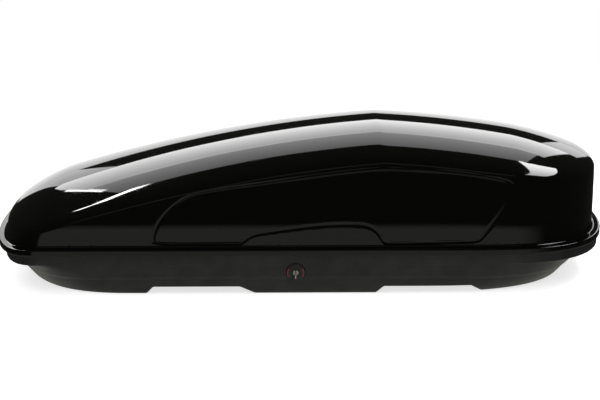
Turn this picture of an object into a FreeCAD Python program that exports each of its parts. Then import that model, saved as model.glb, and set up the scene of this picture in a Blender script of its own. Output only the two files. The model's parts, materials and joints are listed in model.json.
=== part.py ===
"""Roof cargo box: a one-side-opening hard shell for crossbars.

Frame: +X to the tail, -Y to the side that opens and carries the lock, +Z up.
The origin is the middle of the footprint, on the plane of the feet. Millimetres.
"""
import FreeCAD
import Part
import math
import os

V = FreeCAD.Vector
X_AXIS = V(1, 0, 0)
Y_AXIS = V(0, 1, 0)
Z_AXIS = V(0, 0, 1)

# Driving dimensions
LENGTH = 1850.0
WIDTH = 840.0
CREST_HEIGHT = 447.0
ROOF_CROWN = 42.0              # fall of the roof from the centre line to 300 mm beside it
SHELL = 3.5                    # wall of the formed shells
SKIRT_BOTTOM = 124.0           # lower edge of the lid's skirt
LEDGE_TOP = 142.0              # top of the lid's rim ledge
BAND_BOTTOM = 92.0             # lower edge of the base's rim band
SIDE_STEP = 0.6                # the side stands this far inside the band
STAND_OFF = 0.4                # gap behind a piece that is riveted to a wall
STEP_HEIGHT = 50.0             # shallow step along the base's sides
CHANNEL_DEPTH = 22.0           # crossbar channels under the floor
SLOT_SPACING_Y = 480.0
SLOT_LENGTH = 220.0
SLOT_RADIUS = 4.5
LID_OPENING = 45.0             # degrees
LOCK_X = -13.0
LOCK_Z = 69.0
LATCH_TRAVEL = 17.0

# Rim
HALF_LENGTH = LENGTH / 2
HALF_WIDTH = WIDTH / 2
LEDGE_UNDER = LEDGE_TOP - SHELL
RIM_TOP = LEDGE_UNDER - 0.3
BASE_HALF = HALF_WIDTH - 16.0  # outer face of the base's side
LID_HALF = HALF_WIDTH - 23.0   # outer face of the lid's side above the ledge
NOSE_POWERS = (2.75, 1.9)      # superellipse powers of the nose in plan
TAIL_POWERS = (3.5, 2.6)
NOSE_START = -750.0            # where the sides start to turn in
TAIL_START = 452.0

# Roof
KINK_X = 240.0                 # cross crease where the roofline turns
WALL_RISE = 258.0
LEAN = 50.0                    # how far the lid's side leans in over WALL_RISE

# Hinge
HINGE_Y = BASE_HALF + 6.25
HINGE_Z = 130.0
HINGE_STATIONS = {"front": -500.0, "middle": -40.0, "rear": 420.0}
HINGE_LENGTH = 120.0
KNUCKLE_RADIUS = 4.0
HINGE_PIN_RADIUS = 2.0
RUNNING = 0.05                 # radial clearance of pins and shafts

# Crossbar channels: start and end of the full depth, and the run of each ramp
CHANNELS = ((-425.0, -174.0, 20.0, 43.0), (241.0, 494.0, 22.0, 32.0))
FLOOR_TOP = CHANNEL_DEPTH + SHELL
RAIL_WIDTH = 42.0
RAIL_LIP = 6.0
RAIL_METAL = 2.0
RAIL_ENDS = (-470.0, 600.0)

# Latch: catches on the lid, studs on a sliding rail in the base
CATCH_STATIONS = {"front": -628.0, "middle": -31.0, "rear": 593.0}
RIVET_PITCH = 61.0
CATCH_RIVET_Z = 150.0
CATCH_GAP = 1.9                # behind the upright plate, because the wall leans in above its rivets
STUD_Z = 102.0
STUD_RADIUS = 3.5
BAR_Y = (-381.0, -378.0)
BAR_Z = (92.0, 112.0)
BAR_ENDS = (-664.0, 612.0)
CRANK_RADIUS = LATCH_TRAVEL / (2 * math.sin(math.radians(45)))
CRANK_PIN_RADIUS = 3.0
GUIDE_STATIONS = {"front": -330.0, "rear": 280.0}

# Gas struts: both pivots stand STRUT_RADIUS from the lid's hinge axis
STRUT_STATIONS = {"front": -230.0, "rear": 440.0}
STRUT_RADIUS = 161.0
BASE_PIVOT_ANGLE = 31.0        # below the horizontal through the hinge axis
LID_PIVOT_ANGLE = 60.0         # above it
STRUT_SLACK = 3.9              # the eye's slot lets the rod lag or lead by this much
STRUT_PIN_RADIUS = 4.0
RIVET_RADIUS = 1.6
STRAP_STATIONS = {"front": -150.0, "rear": 560.0}


def box(x0, x1, y0, y1, z0, z1):
    return Part.makeBox(x1 - x0, y1 - y0, z1 - z0, V(x0, y0, z0))


def rod(radius, start, end):
    run = V(*end) - V(*start)
    return Part.makeCylinder(radius, run.Length, V(*start), run)


def hole_through(start, end):
    """The hole for one rivet's shank."""
    return rod(RIVET_RADIUS + RUNNING, start, end)


def union(shapes):
    result = shapes[0]
    for shape in shapes[1:]:
        result = result.fuse(shape)
    return result.removeSplitter()


def prism_xz(points, y0, y1):
    """A flat piece: an outline in X and Z, extruded from y0 to y1."""
    wire = Part.makePolygon([V(x, y0, z) for x, z in points + points[:1]])
    return Part.Face(wire).extrude(V(0, y1 - y0, 0))


def prism_yz(points, x0, x1):
    """The same, with its outline in Y and Z."""
    wire = Part.makePolygon([V(x0, y, z) for y, z in points + points[:1]])
    return Part.Face(wire).extrude(V(x1 - x0, 0, 0))


def write(name, shape):
    shape.exportStep("parts/" + name + ".step")
    print(name, len(shape.Solids), "solids, valid", shape.isValid(), round(shape.Volume / 1000, 1), "cm3")


# ---- outer form -----------------------------------------------------------

def crest(x):
    """Height of the roof on the centre line."""
    run = KINK_X - x
    if run > 0:
        return CREST_HEIGHT - 0.0685 * run - 0.000115 * run ** 2 - 0.0011 * max(0.0, run - 960) ** 2
    run = -run
    return CREST_HEIGHT - 0.048 * run - 0.00013 * run ** 2 - 0.00035 * max(0.0, run - 400) ** 2


def roof(x, y):
    return crest(x) - ROOF_CROWN * (y / 300.0) ** 2


def lid_level(z, inset=0.0):
    """Plan of the lid's wall at one height: nose, tail, half width, starts of nose and tail."""
    rise = max(0.0, (z - LEDGE_TOP) / WALL_RISE)
    nose = -(HALF_LENGTH - 27) + 50 * rise ** 2.2 + inset
    tail = HALF_LENGTH - 24 + 4 * rise ** 2 - inset
    half = LID_HALF - LEAN * rise ** 2 - inset
    return nose, tail, half, NOSE_START + 10 + 200 * rise ** 1.4, TAIL_START - 60 * rise


def base_level(z, inset=0.0):
    """Plan of the base's wall at one height, in the same form."""
    fall = max(0.0, (BAND_BOTTOM - z) / BAND_BOTTOM)
    under = max(0.0, (STEP_HEIGHT - z) / STEP_HEIGHT)
    half = BASE_HALF - inset - (4 + 11 * under ** 2 if z < STEP_HEIGHT else 0)
    nose = -(HALF_LENGTH - 21) + 54 * fall ** 1.1 + inset
    tail = HALF_LENGTH - 6 - 110 * fall ** 0.4 - inset
    return nose, tail, half, NOSE_START + 286 * fall ** 0.5, TAIL_START - 268 * fall ** 1.8


def rim_level(inset=0.0):
    """Plan of the lid's skirt."""
    return -HALF_LENGTH + inset, HALF_LENGTH - inset, HALF_WIDTH - inset, NOSE_START, TAIL_START


def half_width(level, x):
    nose, tail, half, nose_start, tail_start = level
    if x > tail_start:
        reach, (p, q) = (x - tail_start) / (tail - tail_start), TAIL_POWERS
    elif x < nose_start:
        reach, (p, q) = (nose_start - x) / (nose_start - nose), NOSE_POWERS
    else:
        return half
    return half * max(0.0, 1 - reach ** p) ** (1 / q)


def outline(level, z, steps=9):
    """The closed plan curve at one height, as one periodic spline."""
    nose, tail, half, nose_start, tail_start = level
    points = []
    ends = ((tail, tail_start, TAIL_POWERS, -90), (nose, nose_start, NOSE_POWERS, 90))
    for end, start, (p, q), first in ends:
        for i in range(2 * steps + 1):
            turn = math.radians(first + 90.0 * i / steps)
            across, along = math.sin(turn), abs(math.cos(turn))
            x = start + (end - start) * along ** (2 / p)
            points.append(V(x, math.copysign(half * abs(across) ** (2 / q), across), z))
        side = half if first < 0 else -half
        other = nose_start if first < 0 else tail_start
        points += [V(start + (other - start) * i / 6, side, z) for i in range(1, 6)]
    curve = Part.BSplineCurve()
    curve.interpolate(points, PeriodicFlag=True)
    return Part.Wire(curve.toShape())


def skin(levels, heights, inset=0.0, lift=0.0):
    """A solid through the plan curves at some heights, topped by a short collar of the first."""
    collar = outline(levels(heights[0], inset), heights[0] + lift + 4)
    return Part.makeLoft([collar] + [outline(levels(z, inset), z + lift) for z in heights], True, True)


def slab(level, z0, z1):
    return Part.Face(outline(level, z0)).extrude(V(0, 0, z1 - z0))


def under_roof(drop):
    """Everything below the roof surface, lowered by drop."""
    ahead = [KINK_X - 1200 * (1 - i / 16) for i in range(16)]
    behind = [KINK_X + 720 * i / 10 for i in range(1, 11)]
    stations = ahead + [KINK_X - 20, KINK_X - 8, KINK_X, KINK_X + 8, KINK_X + 20] + behind
    rows = [[V(x, -480 + 80 * j, roof(x, -480 + 80 * j) - drop) for j in range(13)] for x in stations]
    surface = Part.BSplineSurface()
    surface.interpolate(rows)
    return surface.toShape().extrude(V(0, 0, -1200))


def dome(inset):
    """The lid's solid form above the ledge: its walls, up to the roof."""
    heights = (490, 430, 370, 310, 250, 190, LEDGE_TOP, LEDGE_UNDER - (5 if inset else 0))
    return skin(lid_level, heights, inset).common(under_roof(inset * 1.06))


def lid_shell():
    rim = slab(rim_level(), SKIRT_BOTTOM, LEDGE_TOP)
    under_ledge = slab(rim_level(SHELL), SKIRT_BOTTOM - 1, LEDGE_UNDER)
    mouth = slab(lid_level(LEDGE_TOP, SHELL / 2), LEDGE_UNDER - 1, LEDGE_TOP + 1)
    shell = dome(0.0).cut(dome(SHELL))
    return shell.fuse(rim.cut(under_ledge).cut(mouth))


def channel(index, grow):
    """A crossbar channel across the underside; grow thickens it to the floor above."""
    start, end, front, rear = CHANNELS[index]
    top = CHANNEL_DEPTH + grow
    points = [(start - front - grow, -1), (start - grow, top), (end + grow, top), (end + rear + grow, -1)]
    return prism_xz(points, -HALF_WIDTH, HALF_WIDTH)


def base_form(inset):
    """The base's solid form: rim band, side and rounded underside, each running into the one above."""
    top = RIM_TOP + 20 if inset else RIM_TOP
    band = slab(base_level(BAND_BOTTOM, inset), BAND_BOTTOM + inset, top)
    side = skin(base_level, (BAND_BOTTOM - 1, 84, 70, STEP_HEIGHT), inset + SIDE_STEP, inset)
    lower = skin(base_level, (STEP_HEIGHT - 0.01, 38, 25, 12, 0), inset, inset)
    return band.fuse(side).fuse(lower)


def base_shell():
    outer = base_form(0.0)
    inner = base_form(SHELL)
    for index in range(len(CHANNELS)):
        outer = outer.cut(channel(index, 0.0))
        inner = inner.cut(channel(index, SHELL))
    shell = outer.cut(inner)
    cuts = floor_slots(CHANNEL_DEPTH - 2, FLOOR_TOP + 2) + floor_rivet_holes()
    cuts.append(rod(14.1, (LOCK_X, -430, LOCK_Z), (LOCK_X, -380, LOCK_Z)))
    for station in HINGE_STATIONS.values():
        cuts += [hole_through((x, 395, 104), (x, 420, 104)) for x in leaf_rivets(station)]
    for station in STRUT_STATIONS.values():
        cuts += [hole_through((x, y, 10), (x, y, 40)) for x, y in base_bracket_rivets(station)]
    return shell.cut(Part.makeCompound(cuts))


# ---- floor rails ----------------------------------------------------------

def slot_centres():
    middles = [(start + end) / 2 for start, end, _, _ in CHANNELS]
    return [(x, side * SLOT_SPACING_Y / 2) for x in middles for side in (-1, 1)]


def floor_slots(z0, z1):
    slots = []
    reach = SLOT_LENGTH / 2 - SLOT_RADIUS
    for x, y in slot_centres():
        body = box(x - reach, x + reach, y - SLOT_RADIUS, y + SLOT_RADIUS, z0, z1)
        ends = [rod(SLOT_RADIUS, (x + s * reach, y, z0), (x + s * reach, y, z1)) for s in (-1, 1)]
        slots.append(union([body] + ends))
    return slots


def floor_rivets():
    return [(x + s * (SLOT_LENGTH / 2 + 7), y) for x, y in slot_centres() for s in (-1, 1)]


def floor_rivet_holes():
    return [hole_through((x, y, 10), (x, y, 40)) for x, y in floor_rivets()]


def floor_rail(side):
    """A shallow steel channel on the floor, slotted over the crossbar channels."""
    y = side * SLOT_SPACING_Y / 2
    half = RAIL_WIDTH / 2
    top = FLOOR_TOP + RAIL_METAL + RAIL_LIP
    outer = box(RAIL_ENDS[0], RAIL_ENDS[1], y - half, y + half, FLOOR_TOP, top)
    trough = box(RAIL_ENDS[0] - 1, RAIL_ENDS[1] + 1, y - half + RAIL_METAL, y + half - RAIL_METAL,
                 FLOOR_TOP + RAIL_METAL, top + 1)
    return outer.cut(trough).cut(Part.makeCompound(floor_slots(15, 40) + floor_rivet_holes()))


def rivet(point, inner, outer, direction, head=3.2):
    """A dome-headed rivet: heads at inner and outer, measured from point along direction."""
    at = V(*point)
    run = V(*direction)
    shank = Part.makeCylinder(RIVET_RADIUS, outer - inner, at + run * inner, run)
    far_head = Part.makeCone(head, head * 0.6, 1.1, at + run * outer, run)
    near_head = Part.makeCone(head * 0.8, head * 0.6, 0.9, at + run * inner, run * -1)
    return union([shank, far_head, near_head])


def floor_rail_rivets():
    return Part.makeCompound(
        [rivet((x, y, 0), FLOOR_TOP - SHELL, FLOOR_TOP + RAIL_METAL, (0, 0, 1)) for x, y in floor_rivets()])


# ---- hinges ---------------------------------------------------------------

def knuckles(station, turn):
    """The knuckle spans of one leaf: turn 0 is the base's three, turn 1 the lid's two."""
    pitch = HINGE_LENGTH / 5
    first = station - HINGE_LENGTH / 2
    return [(first + i * pitch + 0.3, first + (i + 1) * pitch - 0.3) for i in range(turn, 5, 2)]


def leaf_rivets(station):
    return [station + s * 48 for s in (-1, 0, 1)]


def hinge_barrel(spans):
    barrels = []
    for x0, x1 in spans:
        tube = rod(KNUCKLE_RADIUS, (x0, HINGE_Y, HINGE_Z), (x1, HINGE_Y, HINGE_Z))
        bore = rod(HINGE_PIN_RADIUS + RUNNING, (x0 - 1, HINGE_Y, HINGE_Z), (x1 + 1, HINGE_Y, HINGE_Z))
        barrels.append((tube, bore))
    return barrels


def base_hinge_leaf(station):
    half = HINGE_LENGTH / 2
    outside = BASE_HALF + STAND_OFF
    plate = box(station - half, station + half, outside, outside + 1.5, 96, 128)
    solids = [plate]
    bores = []
    for (x0, x1), (tube, bore) in zip(knuckles(station, 0), hinge_barrel(knuckles(station, 0))):
        solids += [box(x0, x1, outside, HINGE_Y, 126, 128), tube]
        bores.append(bore)
    holes = [hole_through((x, 395, 104), (x, 420, 104)) for x in leaf_rivets(station)]
    return union(solids).cut(Part.makeCompound(bores + holes))


def lid_hinge_leaf(station):
    inside = HALF_WIDTH - SHELL - STAND_OFF
    half = HINGE_LENGTH / 2
    solids = [box(station - half, station + half, inside - 1.5, inside, SKIRT_BOTTOM + 0.5, 137)]
    bores = []
    for (x0, x1), (tube, bore) in zip(knuckles(station, 1), hinge_barrel(knuckles(station, 1))):
        solids += [box(x0, x1, HINGE_Y, inside - 1, HINGE_Z - 1, HINGE_Z + 1), tube]
        bores.append(bore)
    return union(solids).cut(Part.makeCompound(bores + lid_leaf_holes(station)))


def lid_leaf_holes(station):
    return [hole_through((x, 412, 134), (x, 425, 134)) for x in leaf_rivets(station)]


def hinge_pin(station):
    reach = HINGE_LENGTH / 2 + 0.5
    pin = rod(HINGE_PIN_RADIUS, (station - reach, HINGE_Y, HINGE_Z), (station + reach, HINGE_Y, HINGE_Z))
    ends = [(station + s * reach, station + s * (reach + 1.2)) for s in (-1, 1)]
    return union([pin] + [rod(3.0, (x0, HINGE_Y, HINGE_Z), (x1, HINGE_Y, HINGE_Z)) for x0, x1 in ends])


def base_hinge_rivets():
    inner = BASE_HALF - SHELL - STAND_OFF
    outer = BASE_HALF + STAND_OFF + 1.5
    return Part.makeCompound([rivet((x, 0, 104), inner, outer, (0, 1, 0))
                              for station in HINGE_STATIONS.values() for x in leaf_rivets(station)])


def lid_hinge_rivets():
    """Flush inside, so that they pass the knuckles when the lid turns."""
    inner = HALF_WIDTH - SHELL - STAND_OFF - 1.5
    outer = HALF_WIDTH + STAND_OFF
    rivets = []
    for station in HINGE_STATIONS.values():
        for x in leaf_rivets(station):
            shank = rod(RIVET_RADIUS, (x, inner, 134), (x, outer, 134))
            head = Part.makeCone(3.2, 2.0, 1.1, V(x, outer, 134), Y_AXIS)
            rivets.append(union([shank, head]))
    return Part.makeCompound(rivets)


# ---- latch ----------------------------------------------------------------

def wall_place(station, z):
    """The lid's inner wall on the near side: its Y at a station, and its turn about Z in degrees."""
    level = lid_level(z, SHELL)
    y = -half_width(level, station)
    slope = (half_width(level, station + 40) - half_width(level, station - 40)) / 80
    return y, math.degrees(math.atan(-slope))


def turned(shape, station, z):
    y, angle = wall_place(station, z)
    shape.rotate(V(0, 0, 0), Z_AXIS, angle)
    shape.translate(V(station, y, 0))
    return shape


def catch_plate(station):
    """A plate with a notch that drops over the rail's stud, and a pocket that holds it when locked."""
    stud = -LATCH_TRAVEL / 2
    left, right = stud - 4.5, stud + 4.5
    pocket_end = LATCH_TRAVEL / 2 + 4.5
    low, high = STUD_Z - 4, STUD_Z + 4.5
    points = [(-40, 90), (left, 90), (left, high), (pocket_end, high), (pocket_end, low), (right, low),
              (right, 90), (40, 90), (40, 158), (-40, 158)]
    plate = prism_xz(points, CATCH_GAP, CATCH_GAP + 2.5)
    return turned(plate, station, CATCH_RIVET_Z).cut(catch_rivet_holes(station))


def catch_rivet_holes(station):
    spots = [s * RIVET_PITCH / 2 for s in (-1, 1)]
    holes = [hole_through((x, -12, CATCH_RIVET_Z), (x, 9, CATCH_RIVET_Z)) for x in spots]
    return turned(Part.makeCompound(holes), station, CATCH_RIVET_Z)


def catch_rivets():
    groups = []
    for station in CATCH_STATIONS.values():
        spots = [(s * RIVET_PITCH / 2, 0, CATCH_RIVET_Z) for s in (-1, 1)]
        pair = [rivet(spot, -CATCH_GAP - 2.5, SHELL + 1.0, (0, -1, 0), 3.6) for spot in spots]
        groups.append(turned(Part.makeCompound(pair), station, CATCH_RIVET_Z))
    return Part.makeCompound([solid for group in groups for solid in group.Solids])


def latch_bar():
    """The sliding bar, with a slotted tab that the lock's crank drives."""
    bar = box(BAR_ENDS[0], BAR_ENDS[1], BAR_Y[0], BAR_Y[1], BAR_Z[0], BAR_Z[1])
    pin_x = LOCK_X - LATCH_TRAVEL / 2
    tab = box(pin_x - 14, pin_x + 14, BAR_Y[0], BAR_Y[1], 68, BAR_Z[0] + 1)
    half_slot = CRANK_PIN_RADIUS + 0.6
    low = LOCK_Z + LATCH_TRAVEL / 2 - CRANK_PIN_RADIUS - 0.8
    high = LOCK_Z + CRANK_RADIUS + CRANK_PIN_RADIUS + 0.8
    slot = box(pin_x - half_slot, pin_x + half_slot, BAR_Y[0] - 1, BAR_Y[1] + 1, low, high)
    holes = [rod(2.55, (x - LATCH_TRAVEL / 2, -390, STUD_Z), (x - LATCH_TRAVEL / 2, -370, STUD_Z))
             for x in CATCH_STATIONS.values()]
    return union([bar, tab]).cut(Part.makeCompound([slot] + holes))


def latch_stud(station):
    """A headed stud riveted through the bar; it stands out towards the wall."""
    x = station - LATCH_TRAVEL / 2
    body = rod(STUD_RADIUS, (x, -397, STUD_Z), (x, BAR_Y[0], STUD_Z))
    shank = rod(2.5, (x, BAR_Y[0], STUD_Z), (x, BAR_Y[1], STUD_Z))
    tail = Part.makeCone(4.2, 3.0, 1.5, V(x, BAR_Y[1], STUD_Z), Y_AXIS)
    return union([body, shank, tail])


def bar_guide(station):
    """A block bonded to the wall, with a window that the bar slides through."""
    wall = -BASE_HALF + SHELL + SIDE_STEP + 0.1
    block = box(station - 16, station + 16, wall, BAR_Y[1] + 4, BAR_Z[0] - 6, BAR_Z[1] + 6)
    window = box(station - 17, station + 17, BAR_Y[0] - 0.4, BAR_Y[1] + 0.4, BAR_Z[0] - 0.4, BAR_Z[1] + 0.4)
    relief = box(station - 17, station + 17, wall + 4, BAR_Y[0] - 5, BAR_Z[0], BAR_Z[1])
    return block.cut(window).cut(relief)


def lock_housing():
    face = -BASE_HALF - 0.05
    rosette = Part.makeCone(28, 25.5, 3.95, V(LOCK_X, face, LOCK_Z), V(0, -1, 0))
    barrel = rod(14, (LOCK_X, face, LOCK_Z), (LOCK_X, -387, LOCK_Z))
    bore = rod(8.5 + RUNNING, (LOCK_X, -420, LOCK_Z), (LOCK_X, -380, LOCK_Z))
    groove = rod(24.6, (LOCK_X, -409, LOCK_Z), (LOCK_X, -407.2, LOCK_Z))
    groove = groove.cut(rod(20.9, (LOCK_X, -410, LOCK_Z), (LOCK_X, -406, LOCK_Z)))
    return union([rosette, barrel]).cut(bore).cut(groove)


def indicator_ring():
    """Two red arcs let into the rosette, left and right of the key."""
    ring = rod(24.5, (LOCK_X, -408.2, LOCK_Z), (LOCK_X, -407.2, LOCK_Z))
    ring = ring.cut(rod(21.0, (LOCK_X, -410, LOCK_Z), (LOCK_X, -406, LOCK_Z)))
    arcs = []
    for side in (-1, 1):
        wedge = prism_xz([(0, 0), (side * 40, -33), (side * 40, 33)], -410, -406)
        wedge.translate(V(LOCK_X, 0, LOCK_Z))
        arcs.append(ring.common(wedge))
    return Part.makeCompound([solid for arc in arcs for solid in arc.Solids])


def lock_nut():
    """A ring nut with two flats, on the housing's barrel inside the wall."""
    wall = -BASE_HALF + SHELL + SIDE_STEP + 0.1
    nut = rod(19, (LOCK_X, wall, LOCK_Z), (LOCK_X, wall + 5, LOCK_Z))
    bore = rod(14 + RUNNING, (LOCK_X, -410, LOCK_Z), (LOCK_X, -390, LOCK_Z))
    flats = nut.common(box(LOCK_X - 20, LOCK_X + 20, wall - 1, wall + 6, LOCK_Z - 15.3, LOCK_Z + 15.3))
    return flats.cut(bore)


def lock_cylinder():
    plug = rod(8.5, (LOCK_X, -409, LOCK_Z), (LOCK_X, -386, LOCK_Z))
    square = box(LOCK_X - 3.5, LOCK_X + 3.5, -386, -383.5, LOCK_Z - 3.5, LOCK_Z + 3.5)
    keyway = box(LOCK_X - 1.2, LOCK_X + 1.2, -410, -388, LOCK_Z - 4, LOCK_Z + 4)
    return union([plug, square]).cut(keyway)


def lock_crank():
    """The arm behind the lock: its pin pushes the bar's tab."""
    hub = rod(7.5, (LOCK_X, -386, LOCK_Z), (LOCK_X, -383.5, LOCK_Z))
    pin_x = LOCK_X - LATCH_TRAVEL / 2
    pin_z = LOCK_Z + LATCH_TRAVEL / 2
    tip = rod(4.8, (pin_x, -386, pin_z), (pin_x, -383.5, pin_z))
    arm = box(-4.5, 4.5, -386, -383.5, 0, CRANK_RADIUS)
    arm.rotate(V(0, 0, 0), Y_AXIS, -45)
    arm.translate(V(LOCK_X, 0, LOCK_Z))
    pin = rod(CRANK_PIN_RADIUS, (pin_x, -383.5, pin_z), (pin_x, -376, pin_z))
    hole = box(LOCK_X - 3.55, LOCK_X + 3.55, -387, -383, LOCK_Z - 3.55, LOCK_Z + 3.55)
    return union([hub, tip, arm, pin]).cut(hole)


def key():
    blade = box(LOCK_X - 1.1, LOCK_X + 1.1, -410, -390, LOCK_Z - 3.7, LOCK_Z + 3.7)
    stem = box(LOCK_X - 1.3, LOCK_X + 1.3, -413, -409.3, LOCK_Z - 5, LOCK_Z + 5)
    bow = rod(12, (LOCK_X - 1.3, -423, LOCK_Z), (LOCK_X + 1.3, -423, LOCK_Z))
    hole = rod(3.5, (LOCK_X - 3, -429, LOCK_Z), (LOCK_X + 3, -429, LOCK_Z))
    return union([blade, stem, bow]).cut(hole)


# ---- gas struts -----------------------------------------------------------

def hinge_polar(angle):
    """A point STRUT_RADIUS from the hinge axis, at an angle above the line towards -Y."""
    turn = math.radians(angle)
    return HINGE_Y - STRUT_RADIUS * math.cos(turn), HINGE_Z + STRUT_RADIUS * math.sin(turn)


BASE_PIVOT = hinge_polar(-BASE_PIVOT_ANGLE)
LID_PIVOT = hinge_polar(LID_PIVOT_ANGLE)
STRUT_LENGTH = 2 * STRUT_RADIUS * math.sin(math.radians((BASE_PIVOT_ANGLE + LID_PIVOT_ANGLE) / 2))


def along_strut(shape, station):
    """Takes a shape drawn upwards from the base pivot to its place on the strut's line."""
    lean = math.degrees(math.atan2(LID_PIVOT[0] - BASE_PIVOT[0], LID_PIVOT[1] - BASE_PIVOT[1]))
    shape.rotate(V(0, 0, 0), X_AXIS, -lean)
    shape.translate(V(station, BASE_PIVOT[0], BASE_PIVOT[1]))
    return shape


def strut_cylinder(station):
    eye = rod(8, (-4.5, 0, 0), (4.5, 0, 0))
    neck = rod(4.5, (0, 0, 5), (0, 0, 17))
    tube = rod(9, (0, 0, 16), (0, 0, 158))
    hollow = rod(7.5, (0, 0, 20), (0, 0, 151))
    rod_bore = rod(4 + RUNNING, (0, 0, 150), (0, 0, 160))
    pin_bore = rod(STRUT_PIN_RADIUS + RUNNING, (-6, 0, 0), (6, 0, 0))
    return along_strut(union([eye, neck, tube]).cut(hollow).cut(rod_bore).cut(pin_bore), station)


def strut_rod(station):
    """Piston, rod and slotted eye."""
    piston = rod(7.4, (0, 0, 62), (0, 0, 70))
    shaft = rod(4, (0, 0, 66), (0, 0, STRUT_LENGTH - 10))
    low, high = STRUT_LENGTH - STRUT_SLACK, STRUT_LENGTH + STRUT_SLACK
    slot_half = STRUT_PIN_RADIUS + RUNNING
    eye = union([rod(8, (-4.5, 0, low), (4.5, 0, low)), rod(8, (-4.5, 0, high), (4.5, 0, high)),
                 box(-4.5, 4.5, -8, 8, low, high)])
    slot = union([rod(slot_half, (-6, 0, low), (6, 0, low)), rod(slot_half, (-6, 0, high), (6, 0, high)),
                  box(-6, 6, -slot_half, slot_half, low, high)])
    return along_strut(union([piston, shaft, eye]).cut(slot), station)


def strut_stud(station, pivot):
    """A headed pivot pin that stands out of a bracket's lug."""
    y, z = pivot
    pin = rod(STRUT_PIN_RADIUS, (station - 8.5, y, z), (station + 6, y, z))
    head = rod(6, (station - 10, y, z), (station - 8.5, y, z))
    washer = rod(5.6, (station + 5.2, y, z), (station + 6.7, y, z))
    return union([pin, head, washer])


def base_bracket_rivets(station):
    return [(station - 16, BASE_PIVOT[0] + s * 6) for s in (-1, 1)]


def strut_base_bracket(station):
    """A foot on the floor with an upright lug beside the strut's eye."""
    y, z = BASE_PIVOT
    foot = box(station - 24, station - 5.5, y - 10.5, y + 10.5, FLOOR_TOP, FLOOR_TOP + 2.5)
    lug = box(station - 8.5, station - 5.5, y - 9, y + 9, FLOOR_TOP, z)
    crown_end = rod(9, (station - 8.5, y, z), (station - 5.5, y, z))
    pin_hole = rod(STRUT_PIN_RADIUS + RUNNING, (station - 12, y, z), (station, y, z))
    holes = [hole_through((hx, hy, 10), (hx, hy, 40)) for hx, hy in base_bracket_rivets(station)]
    return union([foot, lug, crown_end]).cut(Part.makeCompound([pin_hole] + holes))


def far_wall(z, station):
    """The lid's inner wall on the far side: its Y at a height, and its lean about X in degrees."""
    low, y, high = [half_width(lid_level(z + dz, SHELL), station) for dz in (-20, 0, 20)]
    return y, math.degrees(math.atan((low - high) / 40))


def on_far_wall(shape, station):
    y, lean = far_wall(LID_PIVOT[1] - 40, station)
    shape.rotate(V(0, 0, 0), X_AXIS, lean)
    shape.translate(V(station, y, LID_PIVOT[1] - 40))
    return shape


def strut_lid_bracket(station):
    """A plate on the lid's far wall with an arm that holds the upper pivot."""
    plate = on_far_wall(box(-24, -5.5, -3.5, -1.0, -16, 16), station)
    y, z = LID_PIVOT
    feet = [(far_wall(z - drop, station)[0] - 2.2, z - drop) for drop in (54, 27)]
    arm = prism_yz(feet + [(y + 4, z + 8), (y - 8, z), (y - 2, z - 8)], station - 8.5, station - 5.5)
    tip = rod(9, (station - 8.5, y, z), (station - 5.5, y, z))
    pin_hole = rod(STRUT_PIN_RADIUS + RUNNING, (station - 12, y, z), (station, y, z))
    return union([plate, arm, tip]).cut(Part.makeCompound([pin_hole] + lid_bracket_holes(station)))


def lid_bracket_holes(station):
    return [on_far_wall(hole_through((-16, -8, s * 9), (-16, 10, s * 9)), station) for s in (-1, 1)]


def lid_bracket_rivets():
    return Part.makeCompound([on_far_wall(rivet((-16, 0, s * 9), -3.5, SHELL + 0.35, (0, 1, 0)), station)
                              for station in STRUT_STATIONS.values() for s in (-1, 1)])


def base_bracket_rivet_group():
    spots = [spot for station in STRUT_STATIONS.values() for spot in base_bracket_rivets(station)]
    return Part.makeCompound(
        [rivet((x, y, 0), FLOOR_TOP - SHELL, FLOOR_TOP + 2.5, (0, 0, 1)) for x, y in spots])


# ---- stiffeners and straps ------------------------------------------------

def lid_stiffener(side):
    """An aluminium angle bonded along the inside of the lid's side."""
    y = side * (half_width(lid_level(192, SHELL), 0) - 0.4)
    x0, x1 = -640, 420
    upright = box(x0, x1, min(y, y - side * 1.6), max(y, y - side * 1.6), 170, 192)
    lip = box(x0, x1, min(y, y - side * 14), max(y, y - side * 14), 170, 171.6)
    return union([upright, lip])


def cargo_strap(station):
    """A webbing strap laid over both floor rails, its ends turned down outside them."""
    reach = SLOT_SPACING_Y / 2 + RAIL_WIDTH / 2
    z = FLOOR_TOP + RAIL_METAL + RAIL_LIP + 0.3
    band = box(station - 12.5, station + 12.5, -reach - 3, reach + 3, z, z + 1.6)
    ends = [box(station - 12.5, station + 12.5, min(s * (reach + 1), s * (reach + 3)),
                max(s * (reach + 1), s * (reach + 3)), FLOOR_TOP + 1, z + 1) for s in (-1, 1)]
    return union([band] + ends)


def strap_buckle(station):
    z = FLOOR_TOP + RAIL_METAL + RAIL_LIP + 2.2
    frame = box(station - 18, station + 18, 60, 104, z, z + 9)
    mouth = box(station - 13, station + 13, 50, 70, z + 2.5, z + 6)
    window = box(station - 13, station + 13, 74, 90, z - 1, z + 10)
    return frame.cut(mouth).cut(window)


# ---- assembly -------------------------------------------------------------

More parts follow.
